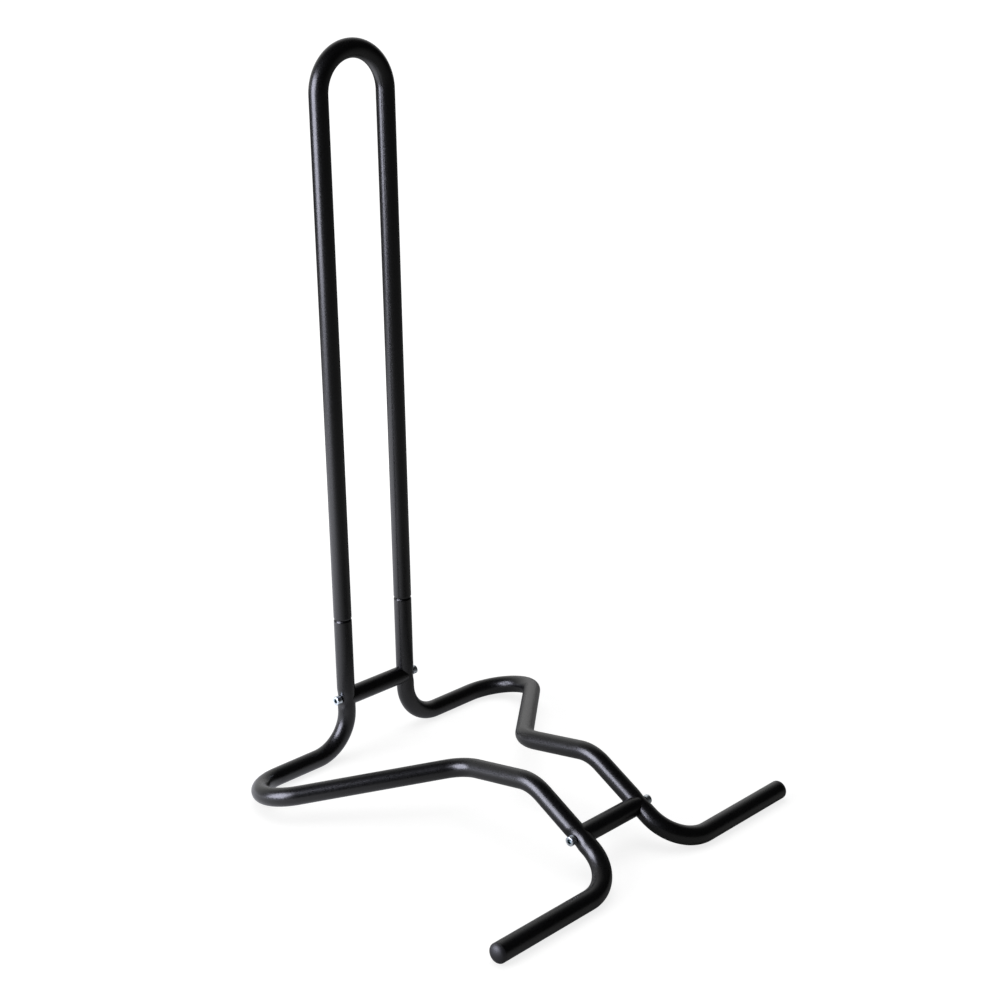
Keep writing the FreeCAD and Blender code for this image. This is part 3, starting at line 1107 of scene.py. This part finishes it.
@dataclass(frozen=True)
class FootCap:
    """A ribbed plastic plug with a domed head in the end of a front foot."""

    sizes: RackSizes
    side: Side
    stem: float = 15 * MM
    core_play: float = 1.2 * MM
    hollow_wall: float = 1.8 * MM
    rib_play: float = 0.05 * MM
    rib_width: float = 1.6 * MM
    rib_pitch: float = 4.5 * MM
    ribs: int = 2
    edge_round: float = 0.3 * MM
    edge_cut: float = 0.3
    rim: float = 1 * MM
    dome_rings: int = 16

    def build(self) -> bpy.types.Object:
        """Builds the cap from the bottom of its hollow stem to the top of its dome.

        Returns:
            The cap.
        """
        sizes = self.sizes
        outwards = Vector((self.side.value, 0, 0))
        foot = Vector((self.side.value * sizes.foot_end, -sizes.leg_y, sizes.radius))
        core = sizes.bore - self.core_play
        hollow = core - self.hollow_wall
        rib = sizes.bore - self.rib_play
        depth = self.stem - self.hollow_wall
        stem_end = foot - outwards * self.stem
        walker = TubeWalker(stem_end, outwards, hollow)
        walker.run(depth)
        walker.close_to_point(0)
        walker.open_first_ring(stem_end, hollow)
        walker.step(0, core)
        run_to_rib = self.stem - self.ribs * self.rib_pitch - self.rib_width / 2
        for index in range(self.ribs):
            walker.step(run_to_rib if index == 0 else self.rib_pitch - self.rib_width, core)
            walker.step(self.rib_width / 2, rib)
            walker.step(self.rib_width / 2, rib)
            walker.step(0, core)
        walker.step(self.rib_pitch - self.rib_width / 2, core)
        edge = self.edge_round
        cut = edge * self.edge_cut
        full = sizes.radius
        walker.step(0, full - edge)
        walker.along(((0, full - edge), (cut, full - cut), (edge, full), (self.rim, full)))
        height = sizes.cap_apex - sizes.foot_end - self.rim
        turns = [index / self.dome_rings * math.pi / 2 for index in range(self.dome_rings)]
        dome = [(height * math.sin(turn), full * math.cos(turn)) for turn in turns]
        walker.along(dome)
        walker.close_to_point(height - dome[-1][0])
        return walker.finish(f"domed_cap_{self.side.word}")

    def dress(self, wardrobe: Wardrobe) -> None:
        """Builds the cap and puts it in its node's place."""
        wardrobe.mount(self.build(), Slot.PLASTIC, Body.BASE, f"foot_cap_{self.side.word}")


# Studio


def turn_vector(azimuth: float, elevation: float) -> Vector:
    """The way towards a place round the object.

    Args:
        azimuth: 0 is in front, at -Y, and 90 degrees is at +X, in radians.
        elevation: Above the horizon, in radians.

    Returns:
        A unit vector from the object.
    """
    level = math.cos(elevation)
    return Vector((math.sin(azimuth) * level, -math.cos(azimuth) * level, math.sin(elevation)))


@dataclass(frozen=True)
class PhotoCamera:
    """Where the photograph was taken from, worked out from the outlines of the tubes."""

    azimuth: float = math.radians(-44.409)
    elevation: float = math.radians(19.274)
    roll: float = math.radians(-0.751)
    distance: float = 2.014414
    target: tuple[float, float, float] = (0.201336, 0.205, 0.242153)
    focal_pixels: float = 1701.667
    frame_pixels: float = 1000.0
    sensor_mm: float = 36.0

    def build(self) -> None:
        """Makes the camera and looks through it."""
        data = bpy.data.cameras.new("photo_camera")
        data.sensor_width = self.sensor_mm
        data.lens = self.focal_pixels * self.sensor_mm / self.frame_pixels
        data.clip_start = 0.05
        data.clip_end = 100
        back = turn_vector(self.azimuth, self.elevation)
        right = Vector((math.cos(self.azimuth), math.sin(self.azimuth), 0))
        up = back.cross(right)
        rolled_right = right * math.cos(self.roll) + up * math.sin(self.roll)
        rolled_up = up * math.cos(self.roll) - right * math.sin(self.roll)
        pose = Matrix((rolled_right, rolled_up, back)).transposed().to_4x4()
        pose.translation = Vector(self.target) + back * self.distance
        camera = bpy.data.objects.new("photo_camera", data)
        camera.matrix_world = pose
        bpy.context.scene.collection.objects.link(camera)
        bpy.context.scene.camera = camera


@dataclass(frozen=True)
class SoftLamp:
    """One soft box.

    Attributes:
        name: Its name.
        azimuth: Where it hangs: 0 is in front and 90 at +X, in degrees.
        distance: How far it hangs from the middle, along the floor.
        height: How high it hangs.
        width: Its width.
        length: Its height.
        power: Its power, in watts.
        colour: Its colour.
        aim: Where it points.
        on_matt: Whether it lights matt surfaces.
        in_gloss: Whether glossy surfaces mirror it.
    """

    name: str
    azimuth: float
    distance: float
    height: float
    width: float
    length: float
    power: float
    colour: Colour = WHITE
    aim: tuple[float, float, float] = (0.0, 0.0, 0.2)
    on_matt: bool = True
    in_gloss: bool = True

    def build(self) -> None:
        """Hangs the lamp and points it at the object."""
        data = bpy.data.lights.new(self.name, "AREA")
        data.shape = "RECTANGLE"
        data.size = self.width
        data.size_y = self.length
        data.energy = self.power
        data.color = self.colour
        lamp = bpy.data.objects.new(self.name, data)
        level = turn_vector(math.radians(self.azimuth), 0) * self.distance
        place = level + Vector((0, 0, self.height))
        pose = (Vector(self.aim) - place).to_track_quat("-Z", "Y").to_matrix().to_4x4()
        pose.translation = place
        lamp.matrix_world = pose
        lamp.visible_camera = False
        lamp.visible_diffuse = self.on_matt
        lamp.visible_glossy = self.in_gloss
        bpy.context.scene.collection.objects.link(lamp)


@dataclass(frozen=True)
class Studio:
    """A pale floor, a white surround and soft lamps.

    Attributes:
        camera: The camera.
        floor_size: Side of the floor.
        floor_white: How pale the floor is.
        floor_glow: What the camera sees the floor glow, near the object and far off.
        glow_reach: Where that glow starts to rise, and where it stops.
        painted_pool_spot: Middle of a pool of light painted on the floor as glow that only glossy surfaces
            mirror.
        painted_pool_reach: Where the painted pool starts to fade, and where it ends.
        painted_pool_glow: How the painted pool glows in its middle and past its end.
        painted_pool_colour: The painted pool's colour.
        fill: What the surround lends to matt surfaces.
        backdrop_azimuth: The way of the bright part of the surround.
        backdrop_edge: Cosines of the angles from there where it starts, and where it is whole.
        backdrop_in_gloss: How the surround glows outside it and in it.
        lamps: The soft boxes.
    """

    camera: PhotoCamera = PhotoCamera()
    floor_size: float = 60.0
    floor_white: float = 0.35
    floor_glow: tuple[float, float] = (0.8, 1.0)
    glow_reach: tuple[float, float] = (0.4, 1.2)
    painted_pool_spot: tuple[float, float, float] = (-0.8, 0.8, 0.0)
    painted_pool_reach: tuple[float, float] = (0.3, 1.3)
    painted_pool_glow: tuple[float, float] = (2.1, 0.0)
    painted_pool_colour: Colour = (0.90, 0.91, 1.0)
    fill: float = 0.24
    backdrop_azimuth: float = math.radians(158)
    backdrop_edge: tuple[float, float] = (0.2, 0.95)
    backdrop_in_gloss: tuple[float, float] = (0.016, 0.85)
    lamps: tuple[SoftLamp, ...] = (
        SoftLamp(
            name="key_box",
            azimuth=-107,
            distance=1.66,
            height=0.85,
            width=1.3,
            length=1.4,
            power=86,
            colour=(0.83, 0.84, 1.0),
            on_matt=False,
        ),
        SoftLamp(
            name="side_box",
            azimuth=-113,
            distance=1.8,
            height=1.2,
            width=1.2,
            length=1.2,
            power=14,
            in_gloss=False,
        ),
        SoftLamp(
            name="top_box",
            azimuth=150,
            distance=0.5,
            height=2.4,
            width=2.2,
            length=2.2,
            power=26,
            in_gloss=False,
        ),
    )

    def build(self) -> None:
        """Builds the camera, the floor, the surround and the lamps."""
        self.camera.build()
        self.build_floor()
        self.build_surround()
        for lamp in self.lamps:
            lamp.build()
        bpy.context.scene.view_settings.view_transform = "Standard"

    def build_floor(self) -> None:
        """Lays the floor: a pale matt sheet that the camera sees as white, with a painted pool of light
        that only glossy surfaces mirror.
        """
        mesh = bmesh.new()
        bmesh.ops.create_grid(mesh, x_segments=1, y_segments=1, size=self.floor_size / 2)
        data = bpy.data.meshes.new("studio_floor")
        mesh.to_mesh(data)
        mesh.free()
        floor = bpy.data.objects.new("studio_floor", data)
        bpy.context.scene.collection.objects.link(floor)
        made = bpy.data.materials.new("pale_floor")
        made.use_nodes = True
        made.node_tree.nodes.clear()
        nodes = Nodes(made.node_tree)
        place = nodes.add("TexCoord").outputs["Object"]
        # Painted light: a glowing pool on the floor, fading with distance from its middle, seen only by
        # glossy and transmitted rays.
        from_spot = nodes.add("VectorMath", {0: place, 1: self.painted_pool_spot}, operation="DISTANCE")
        painted_pool_strength = nodes.fade(from_spot.outputs["Value"], self.painted_pool_reach, self.painted_pool_glow)
        from_object = nodes.add("VectorMath", {0: place}, operation="LENGTH")
        seen_glow = nodes.fade(from_object.outputs["Value"], self.glow_reach, self.floor_glow)
        seen, mirrored = self.rays(nodes)
        in_gloss = nodes.math("MULTIPLY", mirrored, painted_pool_strength)
        strength = nodes.math("MULTIPLY_ADD", seen, seen_glow, in_gloss)
        colour = nodes.mix(mirrored, WHITE, self.painted_pool_colour)
        matt = nodes.add("BsdfDiffuse", {"Color": (*[self.floor_white] * 3, 1)}).outputs[0]
        glow = nodes.add("Emission", {"Color": colour, "Strength": strength}).outputs[0]
        both = nodes.add("AddShader", {0: matt, 1: glow}).outputs[0]
        nodes.add("OutputMaterial", {"Surface": both})
        data.materials.append(made)

    @staticmethod
    def rays(nodes: Nodes) -> tuple[bpy.types.NodeSocket, bpy.types.NodeSocket]:
        """Tells camera rays, and glossy or transmitted rays, from the rest.

        Args:
            nodes: The tree it is built in.

        Returns:
            Two sockets: 1 for a ray from the camera, and 1 for a mirrored or transmitted one.
        """
        path = nodes.add("LightPath").outputs
        mirrored = nodes.math("MAXIMUM", path["Is Glossy Ray"], path["Is Transmission Ray"])
        return path["Is Camera Ray"], mirrored

    def build_surround(self) -> None:
        """Lights the world: white to the camera, and to gloss a backdrop that fades towards the front."""
        world = bpy.data.worlds.new("studio_surround")
        bpy.context.scene.world = world
        world.use_nodes = True
        world.node_tree.nodes.clear()
        nodes = Nodes(world.node_tree)
        direction = nodes.add("TexCoord").outputs["Generated"]
        middle = turn_vector(self.backdrop_azimuth, 0)
        towards = nodes.add("VectorMath", {0: direction, 1: middle}, operation="DOT_PRODUCT")
        backdrop = nodes.fade(towards.outputs["Value"], self.backdrop_edge, self.backdrop_in_gloss)
        seen, mirrored = self.rays(nodes)
        not_seen = nodes.add("Mix", {0: mirrored, 2: self.fill, 3: backdrop}).outputs[0]
        strength = nodes.add("Mix", {0: seen, 2: not_seen, 3: 1.0}).outputs[0]
        glow = nodes.add("Background", {"Color": (*WHITE, 1), "Strength": strength}).outputs[0]
        nodes.add("OutputWorld", {"Surface": glow})


class RackPart(Protocol):
    """A sub-assembly of the rack."""

    def dress(self, wardrobe: Wardrobe) -> None:
        """Builds the looks and puts them in their node's place."""


def rack_parts(sizes: RackSizes) -> list[RackPart]:
    """Every sub-assembly of the rack.

    Args:
        sizes: The measures that they share.

    Returns:
        The parts, none of them built yet.
    """
    parts: list[RackPart] = [Hoop(sizes)]
    parts += [SideFrame(sizes, side) for side in Side]
    parts += [Spacer(sizes, brace) for brace in Brace]
    parts += [CapScrew(sizes, brace, side) for brace in Brace for side in Side]
    parts += [FootCap(sizes, side) for side in Side]
    return parts


def main() -> None:
    """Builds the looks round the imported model."""
    logging.basicConfig(level=logging.INFO, format="%(message)s")
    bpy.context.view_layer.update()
    Studio().build()
    wardrobe = Wardrobe()
    for part in rack_parts(RackSizes.from_frame()):
        part.dress(wardrobe)


if __name__ == "__main__":
    main()
